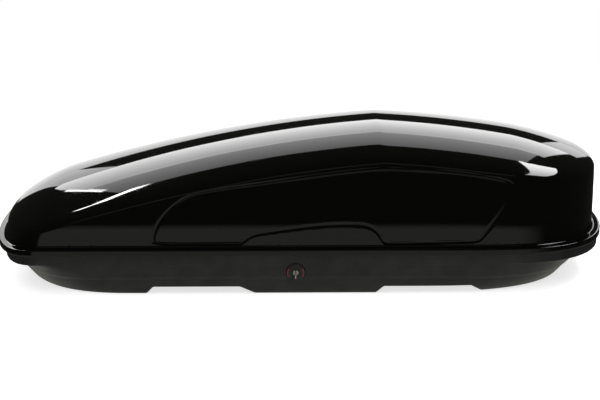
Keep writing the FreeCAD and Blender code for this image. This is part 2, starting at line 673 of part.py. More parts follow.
def parts():
    lid = lid_shell()
    holes = [catch_rivet_holes(x) for x in CATCH_STATIONS.values()]
    holes += [hole for x in HINGE_STATIONS.values() for hole in lid_leaf_holes(x)]
    holes += [hole for x in STRUT_STATIONS.values() for hole in lid_bracket_holes(x)]
    yield "lid_shell", lid.cut(Part.makeCompound(holes))
    yield "base_shell", base_shell()
    for name, side in (("near", -1), ("far", 1)):
        yield "floor_rail_" + name, floor_rail(side)
        yield "lid_stiffener_" + name, lid_stiffener(side)
    yield "floor_rail_rivets", floor_rail_rivets()
    for name, x in HINGE_STATIONS.items():
        yield "base_hinge_leaf_" + name, base_hinge_leaf(x)
        yield "lid_hinge_leaf_" + name, lid_hinge_leaf(x)
        yield "hinge_pin_" + name, hinge_pin(x)
    yield "base_hinge_rivets", base_hinge_rivets()
    yield "lid_hinge_rivets", lid_hinge_rivets()
    for name, x in CATCH_STATIONS.items():
        yield "catch_plate_" + name, catch_plate(x)
        yield "latch_stud_" + name, latch_stud(x)
    yield "catch_rivets", catch_rivets()
    yield "latch_bar", latch_bar()
    for name, x in GUIDE_STATIONS.items():
        yield "bar_guide_" + name, bar_guide(x)
    yield "lock_housing", lock_housing()
    yield "lock_indicator_ring", indicator_ring()
    yield "lock_nut", lock_nut()
    yield "lock_cylinder", lock_cylinder()
    yield "lock_crank", lock_crank()
    yield "key", key()
    for name, x in STRUT_STATIONS.items():
        yield name + "_strut_cylinder", strut_cylinder(x)
        yield name + "_strut_rod", strut_rod(x)
        yield name + "_strut_base_bracket", strut_base_bracket(x)
        yield name + "_strut_lid_bracket", strut_lid_bracket(x)
        yield name + "_strut_base_stud", strut_stud(x, BASE_PIVOT)
        yield name + "_strut_lid_stud", strut_stud(x, LID_PIVOT)
    yield "strut_lid_rivets", lid_bracket_rivets()
    yield "strut_base_rivets", base_bracket_rivet_group()
    for name, x in STRAP_STATIONS.items():
        yield "cargo_strap_" + name, cargo_strap(x)
        yield "strap_buckle_" + name, strap_buckle(x)


os.makedirs("parts", exist_ok=True)
for part_name, part_shape in parts():
    write(part_name, part_shape)
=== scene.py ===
import json
import math

import bmesh
import bpy
import numpy as np
from mathutils import Matrix, Quaternion, Vector

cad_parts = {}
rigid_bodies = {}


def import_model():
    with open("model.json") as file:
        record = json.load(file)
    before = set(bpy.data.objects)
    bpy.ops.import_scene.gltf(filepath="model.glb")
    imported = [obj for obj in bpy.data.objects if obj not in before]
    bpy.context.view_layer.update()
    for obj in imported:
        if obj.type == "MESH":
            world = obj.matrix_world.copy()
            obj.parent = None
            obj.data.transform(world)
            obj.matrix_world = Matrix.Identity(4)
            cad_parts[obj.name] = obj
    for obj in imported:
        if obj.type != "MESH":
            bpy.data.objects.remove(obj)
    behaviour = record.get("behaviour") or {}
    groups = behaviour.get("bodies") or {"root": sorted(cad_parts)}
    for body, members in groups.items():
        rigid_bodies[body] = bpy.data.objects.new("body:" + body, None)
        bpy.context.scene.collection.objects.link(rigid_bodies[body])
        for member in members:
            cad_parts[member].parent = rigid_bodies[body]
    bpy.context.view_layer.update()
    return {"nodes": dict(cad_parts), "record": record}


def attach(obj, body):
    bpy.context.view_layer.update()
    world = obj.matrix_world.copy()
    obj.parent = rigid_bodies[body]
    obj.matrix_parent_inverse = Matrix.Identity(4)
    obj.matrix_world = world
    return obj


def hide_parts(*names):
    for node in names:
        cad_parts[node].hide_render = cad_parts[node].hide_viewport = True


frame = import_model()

MM = 0.001

# Driving dimensions, the same as the solids'
HALF_LENGTH = 925.0
HALF_WIDTH = 420.0
SHELL = 3.5
SKIRT_BOTTOM = 124.0
LEDGE_TOP = 142.0
RIM_TOP = 138.2
BAND_BOTTOM = 92.0
SIDE_STEP = 0.6
STEP_HEIGHT = 50.0
BASE_HALF = HALF_WIDTH - 16.0
LID_HALF = HALF_WIDTH - 23.0
NOSE_LEDGE = 27                # width of the ledge at the nose
TAIL_LEDGE = 24
NOSE_POWERS = (2.75, 1.9)
TAIL_POWERS = (3.5, 2.6)
NOSE_START = -750.0
TAIL_START = 452.0
CREST_HEIGHT = 447.0
ROOF_CROWN = 42.0              # fall of the roof from the centre line to CROWN_REACH beside it
CROWN_REACH = 300.0
KINK_X = 240.0                 # the cross crease
KINK_ROUND = 5.0
KINK_SLOPE = 0.05825           # mean slope of the roof on both sides of the crease
KINK_TILT = 0.01025            # how much less it falls towards the tail, and more towards the nose
WALL_RISE = 258.0
LEAN = 50.0                    # how far the lid's side leans in over WALL_RISE
LIP_FALL = 0.7                 # the ledge's outer edge lies this much lower
LIP_ROUND = 3.2
EDGE_ROUND = 1.4               # at the skirt's lower edge and the base's rim
FLOOR_ROUND = 9.0              # between the base's underside and its wall
CHANNELS = ((-425.0, -174.0, 20.0, 43.0), (241.0, 494.0, 22.0, 32.0))
CHANNEL_DEPTH = 22.0
FLOOR_TOP = CHANNEL_DEPTH + SHELL
SLOT_HALF_Y = 240.0            # the slots' distance from the centre line
SLOT_HALF_LENGTH = 110.0
SLOT_RADIUS = 4.5
LOCK_X = -13.0
LOCK_Z = 69.0
CATCH_STATIONS = (-628.0, -31.0, 593.0)
CATCH_RIVET_Z = 150.0
RIVET_HALF_PITCH = 30.5
RIVET_BACK = -SHELL - 4.4       # inner face of the catch plate, from the lid's outer face
STRAP_STATIONS = {"front": -150.0, "rear": 560.0}
STRAP_REACH = 261.0            # from the centre line to the outer side of a floor rail
RAIL_TOP = FLOOR_TOP + 8.0

# The groove round the side panel: x and z of its corners, before they are rounded
PANEL = [(-417, 153), (-420, 166), (-412, 198), (-392, 230), (-366, 258), (-334, 281), (-303, 295),
         (-269, 302), (-220, 310), (-127, 322), (65, 347), (159, 358), (249, 365), (390, 357),
         (482, 348), (582, 331), (608, 318), (612, 298), (523, 174), (510, 160), (480, 158),
         (246, 153), (236, 160), (230, 172), (218, 190), (193, 204), (160, 209), (57, 206),
         (-22, 196), (-86, 187), (-129, 180), (-147, 172), (-166, 155), (-190, 153)]
GROOVE_HALF = 4.6
GROOVE_DEPTH = 2.4

# The studio, in metres: the plane of the lights behind the box, and how bright the world looks
BACK_Y = 3.0
FLOOR_GLOW = 0.36
ROOM_GLOW = 0.02
FLOOR_EDGE = 14.0
FLOOR_BACK = 3.6
CAMERA_PLACE = (0, -3.620, 1.164)
CAMERA_FALL = 15.3             # degrees below the horizon
CAMERA_ROLL = -0.2
LENS = 70.98                   # mm, on a sensor 36 mm wide


# ---- outer form -----------------------------------------------------------

def crest(x):
    """Height of the roof on the centre line, with the cross crease a little rounded."""
    run = x - KINK_X
    bend = KINK_SLOPE * (np.sqrt(run ** 2 + KINK_ROUND ** 2) - KINK_ROUND) - KINK_TILT * run
    ahead = 0.000115 * np.minimum(run, 0) ** 2 + 0.0011 * np.maximum(0, -run - 960) ** 2
    behind = 0.00013 * np.maximum(run, 0) ** 2 + 0.00035 * np.maximum(0, run - 400) ** 2
    return CREST_HEIGHT - bend - ahead - behind


def roof(x, y):
    """Height of the crowned roof."""
    return crest(x) - ROOF_CROWN * (y / CROWN_REACH) ** 2


def lid_level(z, inset=0.0):
    """Plan of the lid's wall at one height: nose, tail, half width, starts of nose and tail."""
    rise = max(0.0, (z - LEDGE_TOP) / WALL_RISE)
    nose = -(HALF_LENGTH - NOSE_LEDGE) + 50 * rise ** 2.2 + inset
    tail = HALF_LENGTH - TAIL_LEDGE + 4 * rise ** 2 - inset
    half = LID_HALF - LEAN * rise ** 2 - inset
    return nose, tail, half, NOSE_START + 10 + 200 * rise ** 1.4, TAIL_START - 60 * rise


def base_level(z, inset=0.0):
    """Plan of the base's wall at one height, in the same form."""
    fall = min(1.0, max(0.0, (BAND_BOTTOM - z) / BAND_BOTTOM))
    under = max(0.0, (STEP_HEIGHT - z) / STEP_HEIGHT)
    step = 4 * min(1.0, max(0.0, (STEP_HEIGHT + 1.2 - z) / 2.4))
    side = SIDE_STEP * min(1.0, max(0.0, (BAND_BOTTOM - z) / 0.5))
    half = BASE_HALF - inset - side - step - 11 * under ** 2
    nose = -(HALF_LENGTH - 21) + 54 * fall ** 1.1 + inset
    tail = HALF_LENGTH - 6 - 110 * fall ** 0.4 - inset
    return nose, tail, half, NOSE_START + 286 * fall ** 0.5, TAIL_START - 268 * fall ** 1.8


def rim_level(inset=0.0):
    """Plan of the lid's rim, in the same form."""
    return -HALF_LENGTH + inset, HALF_LENGTH - inset, HALF_WIDTH - inset, NOSE_START, TAIL_START


def half_width(level, x):
    """Half the plan's width at x: straight sides between two superelliptic ends."""
    nose, tail, half, nose_start, tail_start = level
    to_tail = np.clip((x - tail_start) / (tail - tail_start), 0, 1)
    to_nose = np.clip((nose_start - x) / (nose_start - nose), 0, 1)
    (tail_p, tail_q), (nose_p, nose_q) = TAIL_POWERS, NOSE_POWERS
    return half * (1 - to_tail ** tail_p) ** (1 / tail_q) * (1 - to_nose ** nose_p) ** (1 / nose_q)


class Columns:
    """Where the vertical lines of a shell's mesh stand: at fixed x along both sides, then round the ends."""

    def __init__(self, xs, nose_count, tail_count):
        self.xs = np.array(sorted(set(xs)))
        self.nose_count = nose_count
        self.tail_count = tail_count

    def end(self, level, at_tail):
        """Evenly spaced points round one end, from the near side to the far side."""
        nose, tail, half, nose_start, tail_start = level
        cut, count = (self.xs[-1], self.tail_count) if at_tail else (self.xs[0], self.nose_count)
        tip, start, (p, q) = (tail, tail_start, TAIL_POWERS) if at_tail else (nose, nose_start, NOSE_POWERS)
        reach = min(1.0, max(0.0, (cut - start) / (tip - start)))
        limit = math.acos(reach ** (p / 2))
        turn = limit * np.linspace(-1, 1, 2401)
        turn = np.sign(turn) * np.abs(turn) ** 1.3 * limit ** -0.3
        x = start + (tip - start) * np.abs(np.cos(turn)) ** (2 / p)
        y = half * np.sign(turn) * np.abs(np.sin(turn)) ** (2 / q)
        if reach == 0.0:
            straight = np.linspace(cut, start, 60)[:-1]
            x = np.concatenate([straight, x, straight[::-1]])
            y = np.concatenate([np.full(59, -half), y, np.full(59, half)])
        walked = np.concatenate([[0], np.cumsum(np.hypot(np.diff(x), np.diff(y)))])
        stops = np.linspace(0, walked[-1], count + 2)[1:-1]
        return np.stack([np.interp(stops, walked, x), np.interp(stops, walked, y)], 1)

    def ring(self, level):
        """The plan curve, cut at every column: near side, tail, far side, nose."""
        width = half_width(level, self.xs)
        near = np.stack([self.xs, -width], 1)
        far = np.stack([self.xs, width], 1)[::-1]
        return np.concatenate([near, self.end(level, True), far, self.end(level, False)[::-1]])

    def axis(self):
        """The point of the centre line that each column runs to."""
        tail = np.full(self.tail_count, self.xs[-1])
        nose = np.full(self.nose_count, self.xs[0])
        x = np.concatenate([self.xs, tail, self.xs[::-1], nose])
        return np.stack([x, np.zeros_like(x)], 1)


class Wall:
    """A shell's wall: its plan curves at many heights, read at any height for each column."""

    def __init__(self, columns, levels, heights):
        self.heights = np.array(heights)
        self.plans = np.stack([columns.ring(levels(z)) for z in heights])
        self.count = self.plans.shape[1]

    def at(self, z):
        """The wall's point of every column at height z, one height for all or one for each."""
        z = np.broadcast_to(z, (self.count,)).astype(float)
        upper = np.clip(np.searchsorted(self.heights, z), 1, len(self.heights) - 1)
        low, high = self.heights[upper - 1], self.heights[upper]
        part = np.clip((z - low) / (high - low), 0, 1)[:, None]
        index = np.arange(self.count)
        plan = self.plans[upper - 1, index] * (1 - part) + self.plans[upper, index] * part
        return np.column_stack([plan, z])

    def meet(self, surface):
        """The height at which each column's wall reaches a surface above it."""
        low, high = np.full(self.count, self.heights[0]), np.full(self.count, self.heights[-1])
        for _ in range(40):
            middle = (low + high) / 2
            point = self.at(middle)
            below = middle < surface(point[:, 0], point[:, 1])
            low, high = np.where(below, middle, low), np.where(below, high, middle)
        return low


def bezier(a, b, c, count, ends=(False, False)):
    """Rings along a parabola from a to c that leaves and arrives towards b; the ends are optional."""
    first, last = (0 if ends[0] else 1), (count if ends[1] else count - 1)
    return [a * (1 - t) ** 2 + b * 2 * t * (1 - t) + c * t * t for t in np.arange(first, last + 1) / count]


def runs(a, b, count):
    """Rings on the straight way from a to b, both ends left out."""
    return [a + (b - a) * i / count for i in range(1, count)]


def lifted(plan, z):
    """The points of a plan curve, moved to height z."""
    return np.column_stack([plan[:, :2], np.broadcast_to(z, (len(plan),))])


def towards(a, b, distance):
    """Points that far from a, on the way to b, in plan."""
    way = b[:, :2] - a[:, :2]
    return a[:, :2] + way * (distance / np.linalg.norm(way, axis=1))[:, None]


# ---- meshes ---------------------------------------------------------------

def new_object(name, bm, smooth=True):
    mesh = bpy.data.meshes.new(name)
    bm.to_mesh(mesh)
    bm.free()
    if smooth:
        mesh.shade_smooth()
    piece = bpy.data.objects.new(name, mesh)
    bpy.context.scene.collection.objects.link(piece)
    return piece


def skin_of_rings(name, rings):
    """A closed shell from rings of equal length; the first and last lie folded on the centre line."""
    count = len(rings[0])
    points = np.concatenate(rings) * MM
    bm = bmesh.new()
    verts = [bm.verts.new(p) for p in points.tolist()]
    for r in range(len(rings) - 1):
        here, above = r * count, (r + 1) * count
        for i in range(count):
            j = (i + 1) % count
            bm.faces.new((verts[here + i], verts[here + j], verts[above + j], verts[above + i]))
    bmesh.ops.remove_doubles(bm, verts=verts[:count] + verts[-count:], dist=1e-6)
    bmesh.ops.recalc_face_normals(bm, faces=bm.faces)
    return new_object(name, bm)


def frame_on(origin, normal, spin=(0, 0, 1)):
    """Metres: a matrix whose Z is the normal and whose Y is as near as can be to spin."""
    z = Vector(normal).normalized()
    x = Vector(spin).cross(z).normalized()
    y = z.cross(x)
    matrix = Matrix((x, y, z)).transposed().to_4x4()
    matrix.translation = Vector(origin) * MM
    return matrix


def add_turned(bm, profile, matrix, steps=40):
    """Adds a turned form: the profile is radius and height in millimetres, closed where the radius is 0."""
    turns = [2 * math.pi * i / steps for i in range(steps)]
    rings = []
    for radius, height in profile:
        if radius == 0:
            points = [(0, 0, height * MM)]
        else:
            points = [(radius * MM * math.cos(t), radius * MM * math.sin(t), height * MM) for t in turns]
        rings.append([bm.verts.new(matrix @ Vector(point)) for point in points])
    for a, b in zip(rings, rings[1:]):
        for i in range(steps):
            j = (i + 1) % steps
            face = [a[i % len(a)], a[j % len(a)], b[j % len(b)], b[i % len(b)]]
            bm.faces.new(list(dict.fromkeys(face)))


def rounded(profile, radius, steps=3):
    """The profile with its inner corners rounded."""
    result = [profile[0]]
    for before, corner, after in zip(profile, profile[1:], profile[2:]):
        a, b, c = (np.array(p, float) for p in (before, corner, after))
        cut = min(radius, np.linalg.norm(a - b) / 2.1, np.linalg.norm(c - b) / 2.1)
        start = b + (a - b) / np.linalg.norm(a - b) * cut
        end = b + (c - b) / np.linalg.norm(c - b) * cut
        for i in range(steps + 1):
            t = i / steps
            result.append(tuple(start * (1 - t) ** 2 + b * 2 * t * (1 - t) + end * t * t))
    return result + [profile[-1]]


def add_prism(bm, outline, depth, matrix, bevel=0.0):
    """Adds a flat piece: an outline in millimetres, thickened along the matrix's Z, its rims bevelled."""
    low = [bm.verts.new((x, y, 0)) for x, y in outline]
    top = [bm.verts.new((x, y, depth)) for x, y in outline]
    count = len(outline)
    faces = [bm.faces.new(low[::-1]), bm.faces.new(top)]
    for i in range(count):
        j = (i + 1) % count
        faces.append(bm.faces.new((low[i], low[j], top[j], top[i])))
    verts = low + top
    if bevel:
        rims = list(dict.fromkeys(edge for face in faces[:2] for edge in face.edges))
        made = bmesh.ops.bevel(bm, geom=rims, offset=bevel, segments=3, profile=0.6, affect="EDGES")
        kept = [face for face in faces if face.is_valid]
        verts = list(dict.fromkeys(vert for face in made["faces"] + kept for vert in face.verts))
    bmesh.ops.scale(bm, vec=(MM, MM, MM), verts=verts)
    bmesh.ops.transform(bm, matrix=matrix, verts=verts)


def add_sweep(bm, rings):
    """Joins rings of equal length into a tube with both ends closed."""
    count = len(rings[0])
    for a, b in zip(rings, rings[1:]):
        for i in range(count):
            j = (i + 1) % count
            bm.faces.new((a[i], a[j], b[j], b[i]))
    bm.faces.new(rings[0][::-1])
    bm.faces.new(rings[-1])


def finish_mesh(name, bm, smooth=True):
    bmesh.ops.recalc_face_normals(bm, faces=bm.faces)
    return new_object(name, bm, smooth)


def smoothed(corners, passes=3):
    """A closed outline with its corners cut again and again."""
    points = np.array(corners, float)
    for _ in range(passes):
        following = np.roll(points, -1, axis=0)
        cuts = [points * 0.75 + following * 0.25, points * 0.25 + following * 0.75]
        points = np.stack(cuts, 1).reshape(-1, 2)
    return points


def distance_to_loop(points, loop):
    """Each point's distance from the closed outline."""
    best = np.full(len(points), 1e9)
    for a, b in zip(loop, np.roll(loop, -1, axis=0)):
        way = b - a
        t = np.clip(((points - a) @ way) / max(way @ way, 1e-9), 0, 1)
        best = np.minimum(best, np.linalg.norm(points - a - t[:, None] * way, axis=1))
    return best


# ---- lid ------------------------------------------------------------------

def lid_skin(columns, inset, drop, counts, roof_run, wall_run):
    """One face of the lid, from the centre line over the shoulder to the foot of the wall."""
    wall = Wall(columns, lambda z: lid_level(z, inset), np.arange(LEDGE_TOP - SHELL, 446, 2.0))
    axis = columns.axis()
    top = wall.meet(lambda x, y: roof(x, y) - drop)
    corner = wall.at(top)
    reach = np.linalg.norm(corner[:, :2] - axis, axis=1)
    ray = (corner[:, :2] - axis) / reach[:, None]

    def on_roof(distance):
        plan = axis + ray * distance[:, None]
        return lifted(plan, roof(plan[:, 0], plan[:, 1]) - drop)

    def on_wall(z):
        return wall.at(z)

    run = np.minimum(roof_run, reach * 0.4)
    start = on_roof(reach - run)
    slope = (on_roof(reach - run + 1)[:, 2] - on_roof(reach - run - 1)[:, 2]) / 2
    fall = np.minimum(wall_run, (top - LEDGE_TOP) * 0.45)
    end = on_wall(top - fall)
    out = np.linalg.norm(end[:, :2] - axis, axis=1)
    lean = (out - np.linalg.norm(on_wall(top - fall - 2)[:, :2] - axis, axis=1)) / 2
    z = (start[:, 2] + slope * (out - lean * end[:, 2] - (reach - run))) / (1 - slope * lean)
    bend = lifted(axis + ray * (out + lean * (z - end[:, 2]))[:, None], z)
    roof_count, shoulder_count, wall_count = counts
    spread = [math.sin(math.pi / 2 * i / roof_count) for i in range(roof_count + 1)]
    rings = [on_roof((reach - run) * s) for s in spread]
    rings += bezier(start, bend, end, shoulder_count)
    low = LEDGE_TOP + (cove(corner[:, 0]) if inset == 0 else 0.0)
    for i in range(wall_count + 1):
        rings.append(on_wall((top - fall) + (low - top + fall) * i / wall_count))
    return rings


def cove(x):
    """Radius of the cove between the ledge and the wall: wider round the nose."""
    return 7.0 + 10.0 * np.clip((-x - 780) / 90, 0, 1)


def press_groove(rings):
    """Presses the panel's groove into both side walls."""
    loop = smoothed(PANEL)
    for ring in rings:
        side = (np.abs(ring[:, 1]) > 330) & (ring[:, 0] > -440) & (ring[:, 0] < 640) & (ring[:, 2] > 146)
        index = np.nonzero(side)[0]
        if len(index) == 0:
            continue
        away = distance_to_loop(ring[index][:, [0, 2]], loop)
        depth = GROOVE_DEPTH * (0.5 + 0.5 * np.cos(np.pi * np.clip(away / GROOVE_HALF, 0, 1)))
        ring[index, 1] -= np.sign(ring[index, 1]) * depth


def make_lid():
    fine = np.arange(-456.0, 640.0, 3.0)
    columns = Columns(list(fine) + [KINK_X], nose_count=150, tail_count=130)
    outer = lid_skin(columns, inset=0.0, drop=0.0, counts=(34, 16, 56), roof_run=52.0, wall_run=13.0)
    press_groove(outer)
    foot = lifted(outer[-1], LEDGE_TOP)
    rim = columns.ring(rim_level())
    inner_rim = columns.ring(rim_level(SHELL))
    fillet = lifted(towards(foot, rim, cove(foot[:, 0])), LEDGE_TOP)
    lip = LEDGE_TOP - LIP_FALL
    near_edge = lifted(towards(rim, foot, LIP_ROUND), lip)
    rings = outer + bezier(outer[-1], foot, fillet, 6, (False, True)) + runs(fillet, near_edge, 4)
    rings += bezier(near_edge, lifted(rim, lip), lifted(rim, lip - LIP_ROUND), 5, (True, True))
    edge = SKIRT_BOTTOM + EDGE_ROUND
    rings += runs(lifted(rim, lip - LIP_ROUND), lifted(rim, edge), 3)
    middle = lifted((rim + inner_rim) / 2, SKIRT_BOTTOM)
    rings += bezier(lifted(rim, edge), lifted(rim, SKIRT_BOTTOM), middle, 3, (True, True))
    rings += bezier(middle, lifted(inner_rim, SKIRT_BOTTOM), lifted(inner_rim, edge), 3, (False, True))
    under = LEDGE_TOP - SHELL
    rings += runs(lifted(inner_rim, edge), lifted(inner_rim, under - 3), 2)
    inner = lid_skin(columns, inset=SHELL, drop=SHELL * 1.06, counts=(12, 7, 10), roof_run=50.0, wall_run=12.0)
    inner_foot = lifted(inner[-1], under)
    beside_rim = lifted(towards(inner_rim, inner_foot, 3.0), under)
    rings += bezier(lifted(inner_rim, under - 3), lifted(inner_rim, under), beside_rim, 3, (True, True))
    rings += [inner_foot] + inner[::-1]
    lid = skin_of_rings("lid_form", rings)
    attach(lid, "lid")
    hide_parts("lid_shell")


# ---- base -----------------------------------------------------------------

def channel_height(x, grow=0.0):
    """How far the underside rises at x, its edges slightly rounded."""
    total = np.zeros_like(x)
    offsets = np.linspace(-3, 3, 7)
    for offset in offsets:
        for start, end, front, rear in CHANNELS:
            slope_up = (x + offset - (start - front - grow)) / front
            slope_down = ((end + rear + grow) - x - offset) / rear
            total += CHANNEL_DEPTH * np.clip(np.minimum(slope_up, slope_down), 0, 1)
    return total / len(offsets)


def base_skin(columns, inset, counts):
    """One face of the base, from the centre line of the floor out and up to the band's foot."""
    steps = np.linspace(1, 0, 90)
    heights = [BAND_BOTTOM * (1 - g ** 2.5) for g in steps] + [49.0, 49.4, 50.0, 50.6, 51.2, 51.6]
    wall = Wall(columns, lambda z: base_level(z, inset), sorted(set(round(h, 3) for h in heights)))
    axis = columns.axis()
    floor_count, bend_count, low_count, side_count = counts
    step_foot = STEP_HEIGHT - 1.2

    def at(z):
        """z counts from the floor: in a channel the wall's lower part is squeezed up."""
        plain = np.full(wall.count, float(z))
        rough = wall.at(plain)
        rise = channel_height(rough[:, 0], inset)
        squeezed = rise + plain * (step_foot - rise) / step_foot
        return wall.at(np.where(plain < step_foot, squeezed, plain))

    foot = at(0.0)
    reach = np.linalg.norm(foot[:, :2] - axis, axis=1)
    ray = (foot[:, :2] - axis) / reach[:, None]

    def on_floor(distance):
        plan = axis + ray * distance[:, None]
        return lifted(plan, channel_height(plan[:, 0], inset))

    edge = FLOOR_ROUND
    spread = [math.sin(math.pi / 2 * i / floor_count) for i in range(floor_count + 1)]
    rings = [on_floor((reach - edge) * s) for s in spread]
    rings += bezier(rings[-1], foot, at(edge), bend_count, (False, True))
    rings += [at(edge + (STEP_HEIGHT - 1.3 - edge) * i / low_count) for i in range(1, low_count + 1)]
    rings += [at(STEP_HEIGHT - 0.6), at(STEP_HEIGHT + 0.6), at(STEP_HEIGHT + 1.3)]
    start = (1 - (STEP_HEIGHT + 1.3) / BAND_BOTTOM) ** 0.4
    for i in range(1, side_count + 1):
        rings.append(at(BAND_BOTTOM * (1 - (start * (1 - i / side_count)) ** 2.5)))
    for ring in rings:
        ring[:, 2] += inset
    return rings


def base_columns():
    """Even columns along the sides, with closer ones where the channels bend."""
    xs = list(np.arange(-460.0, 561.0, 10.0))
    for start, end, front, rear in CHANNELS:
        for x in (start - front, start, end, end + rear):
            xs += [x + offset for offset in (-4.5, -3, -1.5, 0, 1.5, 3, 4.5)]
    return Columns([round(x, 2) for x in xs], nose_count=96, tail_count=96)


def make_base():
    columns = base_columns()
    outer = base_skin(columns, inset=0.0, counts=(10, 6, 8, 16))
    inner = base_skin(columns, inset=SHELL, counts=(10, 5, 6, 10))[::-1]
    band = columns.ring(base_level(BAND_BOTTOM))
    inner_band = columns.ring(base_level(BAND_BOTTOM, SHELL))
    low = BAND_BOTTOM + 0.4
    rings = outer + bezier(outer[-1], lifted(band, low), lifted(band, low + 1.2), 3, (False, True))
    edge = RIM_TOP - EDGE_ROUND
    rings += runs(lifted(band, low + 1.2), lifted(band, edge), 8)
    crown_line = lifted((band + inner_band) / 2, RIM_TOP)
    rings += bezier(lifted(band, edge), lifted(band, RIM_TOP), crown_line, 3, (True, True))
    rings += bezier(crown_line, lifted(inner_band, RIM_TOP), lifted(inner_band, edge), 3, (False, True))
    rings += runs(lifted(inner_band, edge), lifted(inner_band, BAND_BOTTOM + SHELL + 1), 4)
    base = skin_of_rings("base_form", rings + inner)
    cut_slots(base)
    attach(base, "base")
    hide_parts("base_shell")


def cut_slots(base):
    """Cuts the clamp slots through the channels' floor."""
    bm = bmesh.new()
    for start, end, _, _ in CHANNELS:
        for side in (-1, 1):
            outline = []
            for cap in (1, -1):
                for i in range(9):
                    turn = math.pi * (i / 8 - 0.5) + (0 if cap > 0 else math.pi)
                    outline.append((cap * (SLOT_HALF_LENGTH - SLOT_RADIUS) + SLOT_RADIUS * math.cos(turn),
                                    SLOT_RADIUS * math.sin(turn)))
            centre = Vector(((start + end) / 2, side * SLOT_HALF_Y, CHANNEL_DEPTH - 3))
            add_prism(bm, outline, 10.0, Matrix.Translation(centre * MM))
    cut_away(base, bm)


def cut_away(piece, bm):
    """Cuts a closed form out of a piece."""
    cutter = finish_mesh("cutter", bm, smooth=False)
    modifier = piece.modifiers.new("cut", "BOOLEAN")
    modifier.object = cutter
    modifier.operation = "DIFFERENCE"
    modifier.solver = "EXACT"
    bpy.context.view_layer.update()
    evaluated = piece.evaluated_get(bpy.context.evaluated_depsgraph_get())
    mesh = bpy.data.meshes.new_from_object(evaluated)
    piece.modifiers.clear()
    piece.data = mesh
    bpy.data.objects.remove(cutter)


# ---- small pieces ---------------------------------------------------------

def finish_piece(piece, body, nodes):
    """Attaches a new piece to the body it moves with and hides the nodes it stands for."""
    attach(piece, body)
    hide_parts(*nodes)


def make_catch_rivets():
    """A pair of rivets over each catch: a dome outside the lid, a shank and a smaller head inside."""
    bm = bmesh.new()
    head = [(0, 1.5), (1.4, 1.42), (2.6, 1.05), (3.3, 0.5), (3.6, 0.05), (3.4, 0.0), (3.4, -0.6)]
    shank = [(1.6, -0.6), (1.6, RIVET_BACK + 0.1)]
    inner_head = [(2.7, RIVET_BACK), (2.6, RIVET_BACK - 0.4), (1.8, RIVET_BACK - 0.95), (0, RIVET_BACK - 1.1)]
    level = lid_level(CATCH_RIVET_Z)
    for station in CATCH_STATIONS:
        slope = (half_width(level, station + 40) - half_width(level, station - 40)) / 80
        along = Vector((1, -slope, 0)).normalized()
        normal = Vector((-slope, -1, 0)).normalized()
        middle = Vector((station, -half_width(level, station), CATCH_RIVET_Z))
        for side in (-1, 1):
            spot = middle + along * side * RIVET_HALF_PITCH
            add_turned(bm, head + shank + inner_head, frame_on(spot, normal), steps=24)
    finish_piece(finish_mesh("catch_rivet_heads", bm), "lid", ["catch_rivets"])


def make_lock():
    """The rosette with its turned groove, the red arcs laid in it, the plug and the key."""
    place = frame_on((LOCK_X, -BASE_HALF - 0.05, LOCK_Z), (0, -1, 0))
    bm = bmesh.new()
    profile = [(14.0, -17.0), (14.0, 0.0), (28.0, 0.0), (27.6, 1.8), (25.6, 3.95), (24.7, 3.95), (24.7, 3.15),
               (20.9, 3.15), (20.9, 3.95), (11.5, 3.95), (9.6, 2.8), (8.6, 2.8), (8.6, -17.0), (14.0, -17.0)]
    add_turned(bm, rounded(profile, 0.5), place, steps=72)
    bmesh.ops.remove_doubles(bm, verts=bm.verts, dist=1e-6)
    finish_piece(finish_mesh("lock_rosette", bm), "base", ["lock_housing"])

    bm = bmesh.new()
    section = rounded([(21.1, 3.2), (21.1, 3.8), (24.5, 3.8), (24.5, 3.2)], 0.25, 2)
    for side in (0, math.pi):
        rings = []
        for i in range(25):
            turn = side + math.radians(-36 + 72 * i / 24)
            rings.append([bm.verts.new(place @ (Vector((r * math.cos(turn), r * math.sin(turn), h)) * MM))
                          for r, h in section])
        add_sweep(bm, rings)
    finish_piece(finish_mesh("lock_red_arcs", bm), "base", ["lock_indicator_ring"])

    make_plug(place)
    make_key(place)


def make_plug(place):
    """The cylinder's face: a dished disc split by the keyway."""
    bm = bmesh.new()
    profile = [(0, 4.3), (4.2, 4.3), (6.8, 4.6), (7.6, 4.9), (8.5, 4.4), (8.5, -16.6), (0, -16.6)]
    add_turned(bm, rounded(profile, 0.5), place, steps=48)
    plug = finish_mesh("lock_plug", bm)
    bm = bmesh.new()
    keyway = [(-1.35, -4.1), (1.35, -4.1), (1.35, 4.1), (-1.35, 4.1)]
    add_prism(bm, keyway, 21.0, place @ Matrix.Translation((0, 0, -15 * MM)))
    cut_away(plug, bm)
    finish_piece(plug, "lock", ["lock_cylinder"])


